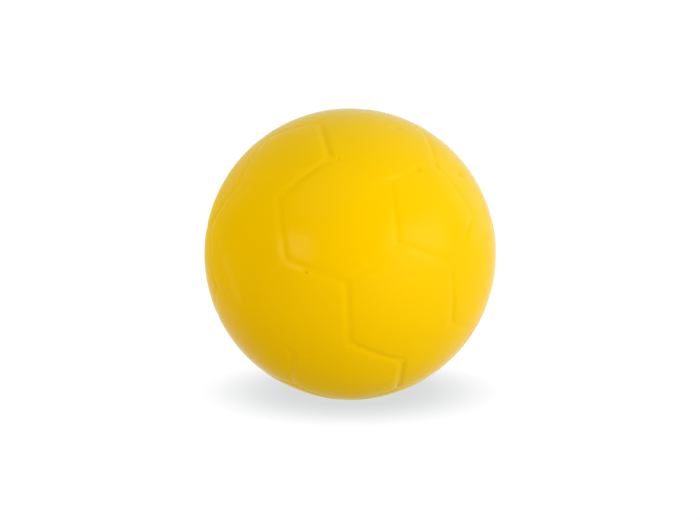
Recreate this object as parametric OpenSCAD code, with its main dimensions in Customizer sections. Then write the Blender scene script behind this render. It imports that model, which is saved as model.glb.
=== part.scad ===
// Moulded foam handball, in millimetres.
// The origin is the ball's centre, with +Z up as the ball lies at rest.

/* [Ball] */
// Outside diameter over the panels
ball_d = 160; // [140:1:190]
// Thickness of the dense outer skin
skin_t = 1.5; // [0.8:0.1:3]
// Clearance between the inside of the skin and the foam core
bond_gap = 0.1; // [0.05:0.05:0.4]

/* [Panel lines] */
// Width of a moulded line where its walls meet the panels
line_w = 4; // [2.5:0.1:6]
// Depth of a moulded line
line_depth = 0.5; // [0.3:0.05:1.2]
// Extra depth of the round hollow where three lines meet
hollow_extra = 0.1; // [0.05:0.05:0.4]
// How far that hollow reaches past the corners of the panels round it
hollow_lip = 0.2; // [0.1:0.05:0.6]

/* [How the ball lies] */
// Turn of the panel layout about X
lie_x = 6.5; // [-180:0.5:180]
// Turn of the panel layout about Y
lie_y = 3.5; // [-180:0.5:180]
// Turn of the panel layout about Z
lie_z = -49; // [-180:0.5:180]

/* [Hidden] */
$fn = 96;

ball_r = ball_d / 2;
hollow_depth = line_depth + hollow_extra;
// How far a cutter stands out of the surface that it cuts
cutter_lift = 0.3;

// The 12 corners of an icosahedron, one over the middle of each pentagon
golden = (1 + sqrt(5)) / 2;
corners = [
    for (a = [-1, 1], b = [-golden, golden])
        each [[0, a, b], [a, b, 0], [b, 0, a]]
];
ids = [0 : len(corners) - 1];
// Distance between neighbours among those corners
corner_span = 2;
function linked(i, j) = i != j && norm(corners[i] - corners[j]) < corner_span * 1.01;
function unit(v) = v / norm(v);

// A panel corner lies a third of the way from icosahedron corner i to its neighbour j
function panel_corner(i, j) = unit((2 * corners[i] + corners[j]) / 3);
panel_corners = [for (i = ids, j = ids) if (linked(i, j)) panel_corner(i, j)];
// Corner angle of a pentagon on the ball, the sharpest that the panels have
panel_angle = 111;

// The lines between two hexagons, then those round the pentagons
hexagon_lines = [
    for (i = ids, j = ids)
        if (i < j && linked(i, j))
            [panel_corner(i, j), panel_corner(j, i)]
];
pentagon_lines = [
    for (i = ids, j = ids, k = ids)
        if (j < k && linked(i, j) && linked(i, k) && linked(j, k))
            [panel_corner(i, j), panel_corner(i, k)]
];
panel_lines = concat(hexagon_lines, pentagon_lines);

// A round scoop: its radius from its width and depth, and its width from its radius and depth
function scoop_r(w, depth) = (w * w / 4 + depth * depth) / (2 * depth);
function scoop_w(r, depth) = 2 * sqrt(2 * r * depth - depth * depth);

// Cutter for one line in a ball of radius r, along the great circle from direction a to direction b
module line_cutter(a, b, r, line_r) {
    side = unit(cross(a, b));
    ahead = cross(side, a);
    multmatrix([
        [a.x, ahead.x, side.x, 0],
        [a.y, ahead.y, side.y, 0],
        [a.z, ahead.z, side.z, 0],
        [0, 0, 0, 1]
    ])
        rotate_extrude(angle = acos(a * b))
            intersection() {
                translate([r - line_depth + line_r, 0])
                    circle(line_r);
                translate([r - 2 * line_depth, -line_r])
                    square([2 * line_depth + cutter_lift, 2 * line_r]);
            }
}

// A ball with its panel lines, offset inwards from the ball's outer surface by inset.
// A round hollow at each panel corner takes in the ends of three lines.
module lined_ball(inset) {
    r = ball_r - inset;
    line_r = scoop_r(line_w, line_depth) + inset;
    hollow_w = scoop_w(line_r, line_depth) / sin(panel_angle / 2) + 2 * hollow_lip;
    hollow_r = scoop_r(hollow_w, hollow_depth);
    difference() {
        sphere(r);
        for (line = panel_lines)
            line_cutter(line[0], line[1], r, line_r);
        for (corner = panel_corners)
            translate(corner * (r - hollow_depth + hollow_r))
                sphere(hollow_r);
    }
}

// Cellular foam body, which fills the skin
module foam_core() {
    color("khaki")
        rotate([lie_x, lie_y, lie_z])
            lined_ball(skin_t + bond_gap);
}

// Dense smooth skin of even thickness, closed all round
module outer_skin() {
    color("gold")
        rotate([lie_x, lie_y, lie_z])
            difference() {
                lined_ball(0);
                lined_ball(skin_t);
            }
}

foam_core();
outer_skin();
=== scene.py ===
import math

import bpy
import numpy as np
from mathutils import Euler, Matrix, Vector


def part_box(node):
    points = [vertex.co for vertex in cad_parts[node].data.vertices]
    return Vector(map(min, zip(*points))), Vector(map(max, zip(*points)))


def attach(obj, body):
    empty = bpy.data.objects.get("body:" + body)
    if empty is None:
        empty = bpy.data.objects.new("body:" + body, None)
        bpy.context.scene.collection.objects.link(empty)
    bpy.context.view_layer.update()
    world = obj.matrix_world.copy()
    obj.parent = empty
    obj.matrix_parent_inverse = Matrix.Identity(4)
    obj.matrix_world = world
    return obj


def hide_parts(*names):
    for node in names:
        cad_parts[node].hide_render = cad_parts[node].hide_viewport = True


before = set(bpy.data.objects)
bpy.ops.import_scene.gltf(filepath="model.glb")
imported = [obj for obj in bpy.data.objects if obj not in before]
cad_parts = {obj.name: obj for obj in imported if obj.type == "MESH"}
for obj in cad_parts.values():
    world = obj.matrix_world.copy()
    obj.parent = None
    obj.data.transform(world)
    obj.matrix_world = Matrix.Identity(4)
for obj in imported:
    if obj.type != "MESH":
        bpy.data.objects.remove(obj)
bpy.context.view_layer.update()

# Foam core
# The soft cellular polyurethane body that fills the ball and gives it its bounce.
# It rises and sets inside the closed mould, so it follows the skin all round, panel lines included.

# Turn of the panel layout as the ball lies, in degrees about X, then Y, then Z
LIE = (6.5, 3.5, -49.0)
# A moulded line is a soft valley: its depth, and how far from its middle its walls are steepest
LINE_DEPTH = 0.00048
LINE_HALF_WIDTH = 0.00135
# Lines that the photograph shows fainter or deeper than the rest, or that leave no dent where they cross
# the ball's outline: their share of the depth, and the azimuth and height of each one's middle in degrees
ODD_LINES = {
    0.35: (
        (-98, 53), (-88, -19), (-84, 12), (-67, 4), (-49, -6), (-47, 35), (-31, -17), (-21, -77), (-21, 83),
        (-12, -23), (8, 12), (33, -22), (34, 44), (53, -20), (55, 34), (83, 72), (98, 54), (159, 77)),
    0.50: ((-69, -15), (-31, 2), (70, 18)),
    0.65: ((-68, 46), (-67, 25), (-64, 65), (-12, 8), (29, 13), (62, 54)),
    0.80: ((-28, 23),),
    1.40: ((-29, -37), (-21, 62), (26, -41), (41, -3)),
}
# Slow unevenness of moulded foam: how far it swells, its shortest and longest wave, their number and seed
SWELL = 0.00003
SWELL_WAVES = (0.022, 0.070)
SWELL_COUNT = 24
SWELL_SEED = 32
# Mesh steps from a panel's middle to its edge, how much they crowd towards the edge, and the number of
# decimals to which the points that panels share agree
CORE_STEPS = 10
STEP_CROWD = 2.5
SHARED_DIGITS = 6
# Colours of the foam, the width of its clouds of tone, and how dull it is
CORE_PALE = (0.80, 0.66, 0.22, 1.0)
CORE_DEEP = (0.68, 0.50, 0.10, 1.0)
CORE_CLOUD = 0.018
CORE_ROUGHNESS = 0.9
CORE_GLOSS = 0.2
# Foam cells: their spacing, radius and depth, how strongly that shows, the share of them that is open,
# and the painted shade inside them
CELL_SPACING = 0.0016
CELL_R = 0.55 * CELL_SPACING
CELL_DEPTH = 0.4 * CELL_SPACING
CELL_STRENGTH = 0.8
CELL_SHARE = 0.9
CELL_SHADE_TINT = (0.72, 0.66, 0.55, 1.0)

core_low, core_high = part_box("foam_core")
core_r = max(core_high - core_low) / 2


def unit(vectors):
    """Vectors over their own length."""
    return vectors / np.linalg.norm(vectors, axis=-1, keepdims=True)


def heading(azimuth, height):
    """Unit vector from the ball's middle. Azimuth is to the right of the viewer's side and height is above
    the level of the middle, both in degrees."""
    a, h = math.radians(azimuth), math.radians(height)
    return np.array((math.sin(a) * math.cos(h), -math.cos(a) * math.cos(h), math.sin(h)))


def icosahedron(turn_degrees):
    """The 12 corners of an icosahedron as unit vectors: (0, +-1, +-golden) and its two cyclic shifts,
    turned about X, Y and Z in that order. Each lies over the middle of a pentagon."""
    golden = (1 + math.sqrt(5)) / 2
    short, long = np.meshgrid((-1, 1), (-golden, golden))
    flat = np.stack([np.zeros(4), short.ravel(), long.ravel()], axis=-1)
    corners = np.concatenate([np.roll(flat, shift, axis=-1) for shift in range(3)])
    turn = np.array(Euler(np.radians(turn_degrees), "XYZ").to_matrix())
    return unit(corners) @ turn.T


def panel_layout(corners):
    """Twelve pentagons and twenty hexagons, as (kites, lines).
    Icosahedron corners less than a right angle apart are neighbours, and a panel corner lies a third of
    the way from a corner i to its neighbour j. The corner k on the left of that way, or on its right,
    gives the hexagon between i, j and k, with its middle at their mean. Round each of the 60 panel
    corners lie three kites, one in each panel that meets there, which run from the panel's middle to an
    edge's middle, the panel corner and the next edge's middle.
    Each line is a pair of panel corners: first the 60 sides of the pentagons, then the 30 others."""
    linked = (corners @ corners.T > 0) & ~np.eye(len(corners), dtype=bool)
    i, j, k = np.nonzero(linked[:, :, None] & linked[:, None, :] & linked[None])
    on_left = np.sum(np.cross(corners[i], corners[j]) * corners[k], axis=-1) > 0
    start, ahead = corners[i[on_left]], corners[j[on_left]]
    left, right = corners[k[on_left]], corners[k[~on_left]]
    corner = unit(2 * start + ahead)
    left_corner, right_corner = unit(2 * start + left), unit(2 * start + right)
    far_corner = unit(start + 2 * ahead)
    edge_ahead = unit(corner + far_corner)
    edge_left, edge_right = unit(corner + left_corner), unit(corner + right_corner)
    kites = np.concatenate([
        np.stack([start, edge_right, corner, edge_left], axis=1),
        np.stack([unit(start + ahead + left), edge_left, corner, edge_ahead], axis=1),
        np.stack([unit(start + ahead + right), edge_ahead, corner, edge_right], axis=1),
    ])
    once = (i < j)[on_left]
    lines = np.concatenate([
        np.stack([corner, left_corner], axis=1),
        np.stack([corner, far_corner], axis=1)[once],
    ])
    return kites, lines


def panel_grid(kites, steps):
    """Directions and outward quads of a ball whose mesh follows the panels.
    On each kite, u and v run from 0 at the panel's middle to 1 at its edges, and the direction is the
    bilinear mix of the kite's four corners, made unit length. Steps of u and v follow a sinh, so they
    crowd towards the edges. Points that kites share are merged."""
    even = np.linspace(0, 1, steps + 1)
    eased = 1 - np.sinh(STEP_CROWD * (1 - even)) / math.sinh(STEP_CROWD)
    u, v = np.meshgrid(eased, eased, indexing="ij")
    mix = np.stack([(1 - u) * (1 - v), u * (1 - v), u * v, (1 - u) * v], axis=-1)
    points = unit(np.einsum("uvc,kcx->kuvx", mix, kites))
    flat = points.reshape(-1, 3)
    rounded = np.round(flat, SHARED_DIGITS)
    _, first, index = np.unique(rounded, axis=0, return_index=True, return_inverse=True)
    index = index.reshape(points.shape[:3])
    quads = np.stack([index[:, :-1, :-1], index[:, 1:, :-1], index[:, 1:, 1:], index[:, :-1, 1:]], axis=-1)
    return flat[first], quads.reshape(-1, 4)


def line_depth(directions, lines, ball_r):
    """Depth of the moulded lines below the ball at each direction.
    The nearest point of a line is found along its great circle, held between its two ends. One line's
    valley is its share times a bell curve of the distance d to it, exp(-(d / half width)^2 / 2). Where
    lines meet, what is left of the panel is the product of one minus each valley, so three valleys flow
    into one hollow."""
    a, b = lines[:, 0], lines[:, 1]
    share = np.ones(len(lines))
    for amount, middles in ODD_LINES.items():
        for azimuth, height in middles:
            share[np.argmax((a + b) @ heading(azimuth, height))] = amount
    forward = np.cross(unit(np.cross(a, b)), a)
    length = np.arccos(np.sum(a * b, axis=-1))
    at_a, at_forward = directions @ a.T, directions @ forward.T
    along = np.clip(np.arctan2(at_forward, at_a), 0, length)
    closeness = np.cos(along) * at_a + np.sin(along) * at_forward
    gap_squared = 2 * (1 - closeness) * (ball_r / LINE_HALF_WIDTH) ** 2
    return LINE_DEPTH * (1 - np.prod(1 - share * np.exp(-gap_squared / 2), axis=-1))


def swell(directions, ball_r):
    """Slow rise and fall of the moulded surface: a sum of plane sine waves with seeded directions,
    lengths and phases, seen where they cross the ball. It is taken over the root of half their number,
    so that SWELL is its root mean square."""
    chance = np.random.default_rng(SWELL_SEED)
    towards = unit(chance.normal(size=(SWELL_COUNT, 3)))
    length = chance.uniform(*SWELL_WAVES, SWELL_COUNT)
    phase = chance.uniform(0, 2 * math.pi, SWELL_COUNT)
    waves = np.sin(directions @ towards.T * (2 * math.pi * ball_r / length) + phase)
    return SWELL * np.sum(waves, axis=-1) / math.sqrt(SWELL_COUNT / 2)


def moulded_wall(directions, lines, wall_r, ball_r):
    """Points of a wall at radius wall_r, which keeps its distance to the ball's surface: the radius at a
    direction is wall_r, less the depth of the lines, plus the swell."""
    radius = wall_r - line_depth(directions, lines, ball_r) + swell(directions, ball_r)
    return directions * radius[:, None]


def add_piece(name, points, quads, material):
    """A smooth-shaded mesh object at the origin, with its place in its points."""
    mesh = bpy.data.meshes.new(name)
    mesh.from_pydata(points, [], quads)
    mesh.polygons.foreach_set("use_smooth", np.ones(len(quads), bool))
    mesh.materials.append(material)
    mesh.update()
    piece = bpy.data.objects.new(name, mesh)
    bpy.context.scene.collection.objects.link(piece)
    return piece


def add_node(tree, kind, options, inputs):
    """Adds a shader node with its options. An input that is a socket is linked, and any other is set."""
    node = tree.nodes.new("ShaderNode" + kind)
    for option, value in options.items():
        setattr(node, option, value)
    for key, value in inputs.items():
        if isinstance(value, bpy.types.NodeSocket):
            tree.links.new(value, node.inputs[key])
        else:
            node.inputs[key].default_value = value
    return node


def maths(tree, operation, first, second, clamp=False):
    """Number that an operation makes of two numbers, held between 0 and 1 where clamp is set."""
    options = {"operation": operation, "use_clamp": clamp}
    return add_node(tree, "Math", options, {0: first, 1: second}).outputs[0]


def mixed(tree, share, first, second, blend="MIX"):
    """Colour that goes from the first to the second, or to their product, as share goes from 0 to 1.
    A Mix node takes its two colours in sockets 6 and 7, and puts the mix out at 2."""
    options = {"data_type": "RGBA", "blend_type": blend}
    return add_node(tree, "Mix", options, {"Factor": share, 6: first, 7: second}).outputs[2]


def fade(tree, distance, near, far):
    """Smooth step from 1 where the distance is near or less, down to 0 where it is far or more."""
    smooth = {"interpolation_type": "SMOOTHSTEP"}
    return add_node(tree, "MapRange", smooth, {
        "Value": distance, "From Min": near, "From Max": far, "To Min": 1.0, "To Max": 0.0}).outputs[0]


def new_group(name, inputs, output):
    """An empty shader node group with one output, and its input and output nodes."""
    group = bpy.data.node_groups.new(name, "ShaderNodeTree")
    for socket, kind in inputs.items():
        group.interface.new_socket(socket, in_out="INPUT", socket_type="NodeSocket" + kind)
    group.interface.new_socket(output, in_out="OUTPUT", socket_type="NodeSocketFloat")
    return group, group.nodes.new("NodeGroupInput"), group.nodes.new("NodeGroupOutput")


def place_group(tree, group, inputs):
    """Puts a node group into a material with its own values, and gives the group's output."""
    return add_node(tree, "Group", {"node_tree": group}, inputs).outputs[0]


def uneven_tone_group():
    """Cloudy unevenness of a poured material: soft noise of spots about Size wide, from 0 to 1,
    which stays near a half."""
    group, given, result = new_group("uneven_tone", {"Vector": "Vector", "Size": "Float"}, "Tone")
    scale = maths(group, "DIVIDE", 1.0, given.outputs["Size"])
    cloud = add_node(group, "TexNoise", {}, {
        "Vector": given.outputs["Vector"], "Scale": scale, "Detail": 3.0, "Roughness": 0.55})
    group.links.new(cloud.outputs["Fac"], result.inputs["Tone"])
    return group


def bubbles_group():
    """Gas bubbles in foam, cut open by the surface: cells about Spacing wide, of which a seeded Share
    holds a round bubble of that Radius. The pit is 1 at a bubble's middle and falls to 0 at its rim."""
    inputs = {"Vector": "Vector", "Spacing": "Float", "Radius": "Float", "Share": "Float"}
    group, given, result = new_group("bubbles", inputs, "Pit")
    scale = maths(group, "DIVIDE", 1.0, given.outputs["Spacing"])
    cells = add_node(group, "TexVoronoi", {}, {"Vector": given.outputs["Vector"], "Scale": scale})
    rim = maths(group, "MULTIPLY", given.outputs["Radius"], scale)
    dome = fade(group, cells.outputs["Distance"], 0.0, rim)
    draw = add_node(group, "SeparateColor", {}, {"Color": cells.outputs["Color"]})
    chosen = maths(group, "LESS_THAN", draw.outputs[0], given.outputs["Share"])
    group.links.new(maths(group, "MULTIPLY", dome, chosen), result.inputs["Pit"])
    return group


def new_material(name):
    """A new material, with its node tree, its Principled BSDF and its object coordinates."""
    material = bpy.data.materials.new(name)
    material.use_nodes = True
    tree = material.node_tree
    where = tree.nodes.new("ShaderNodeTexCoord").outputs["Object"]
    return material, tree, tree.nodes["Principled BSDF"], where


def foam_material():
    """Pale yellow cellular foam: fine open cells all over, darkened inside with painted shade, and cloudy
    in tone.
    """
    material, tree, shader, where = new_material("cellular_foam")
    tone = place_group(tree, uneven_tone, {"Vector": where, "Size": CORE_CLOUD})
    cells = place_group(tree, bubbles, {
        "Vector": where, "Spacing": CELL_SPACING, "Radius": CELL_R, "Share": CELL_SHARE})
    cloudy = mixed(tree, tone, CORE_DEEP, CORE_PALE)
    # Painted shade darkens the insides of the open cells
    cell_shaded = mixed(tree, cells, cloudy, CELL_SHADE_TINT, "MULTIPLY")
    bump = add_node(tree, "Bump", {"invert": True}, {
        "Height": cells, "Distance": CELL_DEPTH, "Strength": CELL_STRENGTH})
    tree.links.new(cell_shaded, shader.inputs["Base Color"])
    tree.links.new(bump.outputs["Normal"], shader.inputs["Normal"])
    shader.inputs["Roughness"].default_value = CORE_ROUGHNESS
    shader.inputs["Specular IOR Level"].default_value = CORE_GLOSS
    return material


uneven_tone = uneven_tone_group()
bubbles = bubbles_group()
skin_low, skin_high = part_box("outer_skin")
ball_r = max(skin_high - skin_low) / 2
kites, lines = panel_layout(icosahedron(LIE))

core_directions, core_quads = panel_grid(kites, CORE_STEPS)
core_points = moulded_wall(core_directions, lines, core_r, ball_r)
foam_core = add_piece("foam_core_body", core_points, core_quads, foam_material())
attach(foam_core, "root")
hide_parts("foam_core")

# Outer skin
# The dense, satin, yellow polyurethane skin that sets against the mould wall, closed all round.
# It is one moulding of even thickness, and the panel lines are valleys in it, not seams.

# Mesh steps from a panel's middle to its edge, and the clearance where the skin is bonded to the core
SKIN_STEPS = 21
BOND_GAP = 0.0001
# Colours of the skin, the width of its clouds of tone, its roughness from deep to light, and its gloss
SKIN_LIGHT = (0.730, 0.430, 0.0, 1.0)
SKIN_DEEP = (0.695, 0.410, 0.0, 1.0)
SKIN_CLOUD = 0.030
SKIN_ROUGHNESS = (0.18, 0.14)
SKIN_GLOSS = 0.03
# Fine grain that the mould wall leaves: its width, its depth, and how strongly it shows
GRAIN_SIZE = 0.0007
GRAIN_DEPTH = 0.00002
GRAIN_STRENGTH = 0.5
# A burst bubble on the front: azimuth and height in degrees, and the radius of its mouth, which painted
# shade darkens
PINHOLE = (-15.9, 7.8)
PINHOLE_R = 0.00085
# Round hollows that air left against the mould: azimuth and height in degrees, half width and depth
DIMPLES = (
    (*PINHOLE, 0.0005, 0.0005),
    (38.3, 45.4, 0.0010, 0.0010),
    (66.8, 38.7, 0.0012, 0.0011),
    (50.5, 66.7, 0.0015, 0.0007),
    (-7.1, 52.0, 0.0006, 0.0005),
)
# Share of the way that mesh points are drawn to a dimple, and how far from it that reaches
DIMPLE_PULL = 0.8
DIMPLE_REACH = 0.005
# Small pits: the spacing of the cells that may hold one, their radius, and the share of cells that do
PIT_SPACING = 0.0065
PIT_R = 0.0005
PIT_SHARE = 0.012
# Painted shade inside a pit or the pinhole, its depth, and how strongly that shows
HOLE_SHADE_TINT = (0.45, 0.38, 0.30, 1.0)
HOLE_DEPTH = 0.0004
HOLE_STRENGTH = 0.6
# Painted highlights: pale streaks, each from one heading to another, and their half width
HIGHLIGHT_TINT = (0.72, 0.44, 0.008, 1.0)
HIGHLIGHT_STREAKS = (
    ((-53.6, 7.0), (-46.0, -6.0), 0.0050),
    ((19.5, 42.3), (26.5, 43.7), 0.0018),
)


def drawn_to_dimples(directions, ball_r):
    """Directions drawn towards each dimple's middle, by a share of the way that falls off as a bell curve
    of the distance, so that the mesh is finest there."""
    for azimuth, height, _, _ in DIMPLES:
        away = directions - heading(azimuth, height)
        gap_squared = np.sum(away ** 2, axis=-1, keepdims=True) * (ball_r / DIMPLE_REACH) ** 2
        directions = unit(directions - DIMPLE_PULL * np.exp(-gap_squared / 2) * away)
    return directions


def dimple_depth(directions, ball_r):
    """Depth of the dimples at each direction, a bell curve of the distance to each one's middle."""
    depth = np.zeros(len(directions))
    for azimuth, height, half_width, deepest in DIMPLES:
        away = directions - heading(azimuth, height)
        gap_squared = np.sum(away ** 2, axis=-1) * (ball_r / half_width) ** 2
        depth += deepest * np.exp(-gap_squared / 2)
    return depth


def vector_maths(tree, operation, first, second):
    """Node of an operation on two vectors. Its outputs are a vector, 0, and a number, Value."""
    return add_node(tree, "VectorMath", {"operation": operation}, {0: first, 1: second})


def mark_group():
    """A mark round the stretch from From to To: 1 on that stretch, and a smooth step down to 0 at Radius
    from it. Where both ends are one place, the mark is round."""
    inputs = {"Vector": "Vector", "From": "Vector", "To": "Vector", "Radius": "Float"}
    group, given, result = new_group("mark", inputs, "Mark")
    run = vector_maths(group, "SUBTRACT", given.outputs["To"], given.outputs["From"]).outputs[0]
    away = vector_maths(group, "SUBTRACT", given.outputs["Vector"], given.outputs["From"]).outputs[0]
    ahead = vector_maths(group, "DOT_PRODUCT", away, run).outputs["Value"]
    whole = vector_maths(group, "DOT_PRODUCT", run, run).outputs["Value"]
    share = maths(group, "DIVIDE", ahead, whole, clamp=True)
    foot = add_node(group, "VectorMath", {"operation": "SCALE"}, {0: run, "Scale": share}).outputs[0]
    gap = vector_maths(group, "DISTANCE", away, foot).outputs["Value"]
    group.links.new(fade(group, gap, 0.0, given.outputs["Radius"]), result.inputs["Mark"])
    return group


def skin_material():
    """Satin moulded skin: an even yellow with slow clouds of tone and a fine grain from the mould wall. It
    has a pinhole where an air bubble burst and small pits here and there, both darkened with painted shade,
    and faint pale streaks that are painted highlights."""
    material, tree, shader, where = new_material("satin_skin")
    tone = place_group(tree, uneven_tone, {"Vector": where, "Size": SKIN_CLOUD})
    dull, polished = SKIN_ROUGHNESS
    polish = add_node(tree, "MapRange", {}, {"Value": tone, "To Min": dull, "To Max": polished})
    colour = mixed(tree, tone, SKIN_DEEP, SKIN_LIGHT)
    # Painted highlights: pale streaks mixed into the skin's colour
    for start, end, half_width in HIGHLIGHT_STREAKS:
        highlight_streak = place_group(tree, mark, {
            "Vector": where, "From": ball_r * heading(*start), "To": ball_r * heading(*end),
            "Radius": half_width})
        colour = mixed(tree, highlight_streak, colour, HIGHLIGHT_TINT)
    pits = place_group(tree, bubbles, {
        "Vector": where, "Spacing": PIT_SPACING, "Radius": PIT_R, "Share": PIT_SHARE})
    mouth = ball_r * heading(*PINHOLE)
    pinhole = place_group(tree, mark, {"Vector": where, "From": mouth, "To": mouth, "Radius": PINHOLE_R})
    holes = maths(tree, "MAXIMUM", pits, pinhole)
    # Painted shade darkens the insides of the pits and the pinhole
    hole_shaded = mixed(tree, holes, colour, HOLE_SHADE_TINT, "MULTIPLY")
    grain = place_group(tree, uneven_tone, {"Vector": where, "Size": GRAIN_SIZE})
    grained = add_node(tree, "Bump", {}, {
        "Height": grain, "Distance": GRAIN_DEPTH, "Strength": GRAIN_STRENGTH})
    pitted = add_node(tree, "Bump", {"invert": True}, {
        "Height": holes, "Distance": HOLE_DEPTH, "Strength": HOLE_STRENGTH,
        "Normal": grained.outputs["Normal"]})
    tree.links.new(hole_shaded, shader.inputs["Base Color"])
    tree.links.new(polish.outputs[0], shader.inputs["Roughness"])
    tree.links.new(pitted.outputs["Normal"], shader.inputs["Normal"])
    shader.inputs["Specular IOR Level"].default_value = SKIN_GLOSS
    return material


mark = mark_group()
even_directions, outer_quads = panel_grid(kites, SKIN_STEPS)
outer_directions = drawn_to_dimples(even_directions, ball_r)
outer_points = moulded_wall(outer_directions, lines, ball_r, ball_r)
outer_points -= outer_directions * dimple_depth(outer_directions, ball_r)[:, None]
inner_points = moulded_wall(core_directions, lines, core_r + BOND_GAP, ball_r)
skin_points = np.concatenate([outer_points, inner_points])
skin_quads = np.concatenate([outer_quads, core_quads[:, ::-1] + len(outer_points)])
outer_skin = add_piece("outer_skin_shell", skin_points, skin_quads, skin_material())
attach(outer_skin, "root")
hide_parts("outer_skin")

# Floor
# A plain white table top, lit evenly from below, with a painted shadow: its glow dims in a soft oval under
# the ball.
# The light that it throws back on the ball has the ball's own yellow cast on the left, a cool cast on the
# right, and is nearly white behind.

# How far the table top reaches each way, and its glow
FLOOR_REACH = 14.0
FLOOR_GLOW = (1.04, 1.04, 1.04, 1.0)
# The painted shadow, a soft oval: its glow, its half width and half depth, and how much of the way out it
# is darkest
SHADE_GLOW = (0.690, 0.709, 0.700, 1.0)
SHADE_HALF_WIDTH = 0.100
SHADE_HALF_DEPTH = 0.064
SHADE_CORE = 0.30
# Light thrown back on the ball, and where it changes: from left to right, from before the ball to behind
# it, and from the far left to near the ball
BOUNCE_LEFT = (0.71, 0.74, 0.25, 1.0)
BOUNCE_RIGHT = (0.91, 0.99, 1.24, 1.0)
BOUNCE_BEHIND = (0.85, 0.95, 0.95, 1.0)
BOUNCE_EDGE = (0.0, 0.22)
BOUNCE_BEHIND_EDGE = (-0.045, 0.0)
BOUNCE_FAR_EDGE = (-0.25, -0.08)


def ramp(tree, value, edge):
    """Even rise from 0 to 1 as the value goes from the edge's first place to its second."""
    low, high = edge
    return add_node(tree, "MapRange", {}, {"Value": value, "From Min": low, "From Max": high}).outputs[0]


def table_material():
    """An even white glow with a painted shadow in it. With x and y over the oval's half width and depth,
    the distance from its middle is 0 there and 1 at its rim, and a smooth step over that distance takes the
    glow from dim to full. Only the camera sees that painted shadow, and the ball gets the light that such a
    table throws back."""
    material, tree, shader, where = new_material("white_table")
    tree.nodes.remove(shader)
    oval = vector_maths(tree, "MULTIPLY", where, (1 / SHADE_HALF_WIDTH, 1 / SHADE_HALF_DEPTH, 0.0))
    out = add_node(tree, "VectorMath", {"operation": "LENGTH"}, {0: oval.outputs[0]})
    # Painted shadow: the floor's glow is dimmed in a soft oval under the ball
    shade = fade(tree, out.outputs["Value"], SHADE_CORE, 1.0)
    glow = mixed(tree, shade, FLOOR_GLOW, SHADE_GLOW)
    place = add_node(tree, "SeparateXYZ", {}, {0: where})
    front = mixed(tree, ramp(tree, place.outputs["X"], BOUNCE_EDGE), BOUNCE_LEFT, BOUNCE_RIGHT)
    behind = ramp(tree, place.outputs["Y"], BOUNCE_BEHIND_EDGE)
    near = ramp(tree, place.outputs["X"], BOUNCE_FAR_EDGE)
    bounce = mixed(tree, maths(tree, "MULTIPLY", behind, near), front, BOUNCE_BEHIND)
    seen = tree.nodes.new("ShaderNodeLightPath").outputs["Is Camera Ray"]
    light = add_node(tree, "Emission", {}, {"Color": mixed(tree, seen, bounce, glow)})
    tree.links.new(light.outputs[0], tree.nodes["Material Output"].inputs["Surface"])
    material.cycles.emission_sampling = "NONE"
    return material


floor_square = FLOOR_REACH * np.array([(-1, -1, 0), (1, -1, 0), (1, 1, 0), (-1, 1, 0)])
floor_points = floor_square + np.array((0, 0, -ball_r))
floor = add_piece("floor", floor_points, np.array([(0, 1, 2, 3)]), table_material())

# Studio light
# Soft boxes on stands: a large key to the right and a small warm fill to the left, both low, a crown light
# above, and a side light behind on the left. White panes stand by for the skin to mirror, and cool
# daylight comes from behind, above and to the right.

# Distance of each light from the ball's middle, and the colours of their light
SOFTBOX_DISTANCE = 1.5
WHITE, WARM, COOL = (1.0, 1.0, 1.0), (1.0, 0.87, 0.87), (0.93, 1.0, 1.0)
KEY = {"azimuth": 57, "height": 15, "width": 1.60, "tall": 1.00, "power": 23.4, "colour": WHITE}
FILL = {"azimuth": -37, "height": 13, "width": 0.70, "tall": 0.60, "power": 10.2, "colour": WARM}
CROWN = {"azimuth": -36, "height": 55, "width": 1.00, "tall": 1.00, "power": 7.0, "colour": COOL}
SIDE = {"azimuth": -124, "height": 14, "width": 0.80, "tall": 0.80, "power": 8.3, "colour": COOL}
# Panes that light nothing and are there only for the skin to mirror
PANES = (
    {"azimuth": 57, "height": 15, "width": 1.60, "tall": 1.00, "power": 7.5, "colour": WHITE},
    {"azimuth": 59, "height": 17.5, "width": 0.85, "tall": 0.53, "power": 4.4, "colour": WHITE},
    {"azimuth": -43, "height": 16.5, "width": 0.62, "tall": 0.50, "power": 4.6, "colour": WHITE},
    {"azimuth": 120, "height": 15, "width": 0.80, "tall": 1.40, "power": 3.0, "colour": WHITE},
)
# Daylight: where it is brightest and its colour there, and the dark that it fades to
WINDOW = {"azimuth": 151, "height": 38, "colour": (1.00, 1.28, 1.45, 1.0)}
DARK = (0.0, 0.0, 0.0, 1.0)


def add_softbox(name, azimuth, height, width, tall, power, colour):
    """A rectangular soft light that stands at its heading from the ball and faces the ball's middle."""
    towards = Vector(heading(azimuth, height))
    lamp = bpy.data.lights.new(name, "AREA")
    lamp.shape = "RECTANGLE"
    lamp.size = width
    lamp.size_y = tall
    lamp.energy = power
    lamp.color = colour
    box = bpy.data.objects.new(name, lamp)
    box.location = SOFTBOX_DISTANCE * towards
    box.rotation_euler = towards.to_track_quat("Z", "Y").to_euler()
    bpy.context.scene.collection.objects.link(box)
    return box


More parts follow.
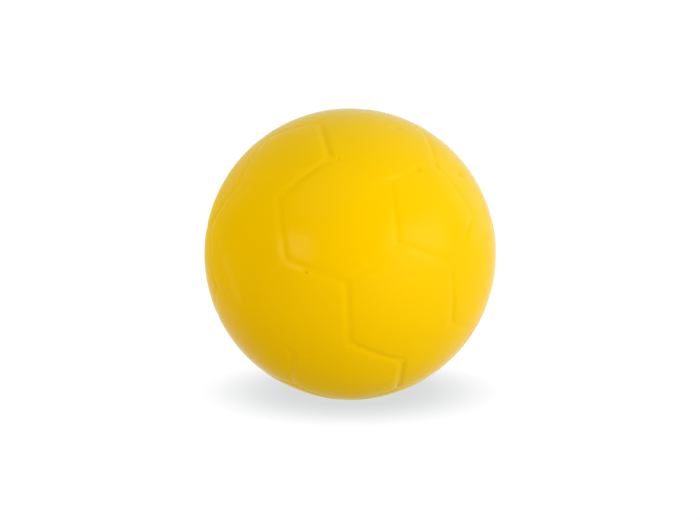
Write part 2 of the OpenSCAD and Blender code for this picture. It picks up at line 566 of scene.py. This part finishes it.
def window_world(azimuth, height, colour):
    """Daylight that is brightest at one heading and fades to dark at a right angle to it, as the cosine.
    The camera itself sees plain white all round, so that every view has the same ground."""
    world = bpy.data.worlds.new("daylight")
    world.use_nodes = True
    tree = world.node_tree
    sky = tree.nodes.new("ShaderNodeTexCoord").outputs["Generated"]
    facing = vector_maths(tree, "DOT_PRODUCT", sky, heading(azimuth, height))
    daylight = mixed(tree, ramp(tree, facing.outputs["Value"], (0.0, 1.0)), DARK, colour)
    seen = tree.nodes.new("ShaderNodeLightPath").outputs["Is Camera Ray"]
    tree.links.new(mixed(tree, seen, daylight, FLOOR_GLOW), tree.nodes["Background"].inputs["Color"])
    return world


add_softbox("key", **KEY).visible_glossy = False
add_softbox("fill", **FILL).visible_glossy = False
add_softbox("crown", **CROWN).visible_glossy = False
add_softbox("side", **SIDE).visible_glossy = False
for pane in PANES:
    add_softbox("pane", **pane).visible_diffuse = False
bpy.context.scene.world = window_world(**WINDOW)
bpy.context.scene.view_settings.view_transform = "Standard"

# Camera
# It stands about 0.7 m from the ball, straight in front of it and a little above.
# Its lens and its aim give the ball the size and the place that it has in the photograph.

# The photograph's size, and the middle and radius of the ball in it, in pixels
PHOTO_W, PHOTO_H = 700, 520
BALL_PX, BALL_PY, BALL_R_PX = 350.2, 254.2, 145.8
# Height of the camera as an angle above the ball's level, and its distance from the ball's middle
VIEW_HEIGHT = math.radians(15.0)
VIEW_DISTANCE = 8.63 * ball_r

focal_px = BALL_R_PX * math.sqrt((VIEW_DISTANCE / ball_r) ** 2 - 1)
pitch = VIEW_HEIGHT + math.atan((PHOTO_H / 2 - BALL_PY) / focal_px)
lens = bpy.data.cameras.new("camera")
lens.sensor_fit = "HORIZONTAL"
lens.sensor_width = 36.0
lens.lens = lens.sensor_width * focal_px / PHOTO_W
lens.clip_start = 0.01
camera = bpy.data.objects.new("camera", lens)
camera.location = (0, -VIEW_DISTANCE * math.cos(VIEW_HEIGHT), VIEW_DISTANCE * math.sin(VIEW_HEIGHT))
camera.rotation_euler = (math.pi / 2 - pitch, 0, math.atan((BALL_PX - PHOTO_W / 2) / focal_px))
bpy.context.scene.collection.objects.link(camera)
bpy.context.scene.camera = camera
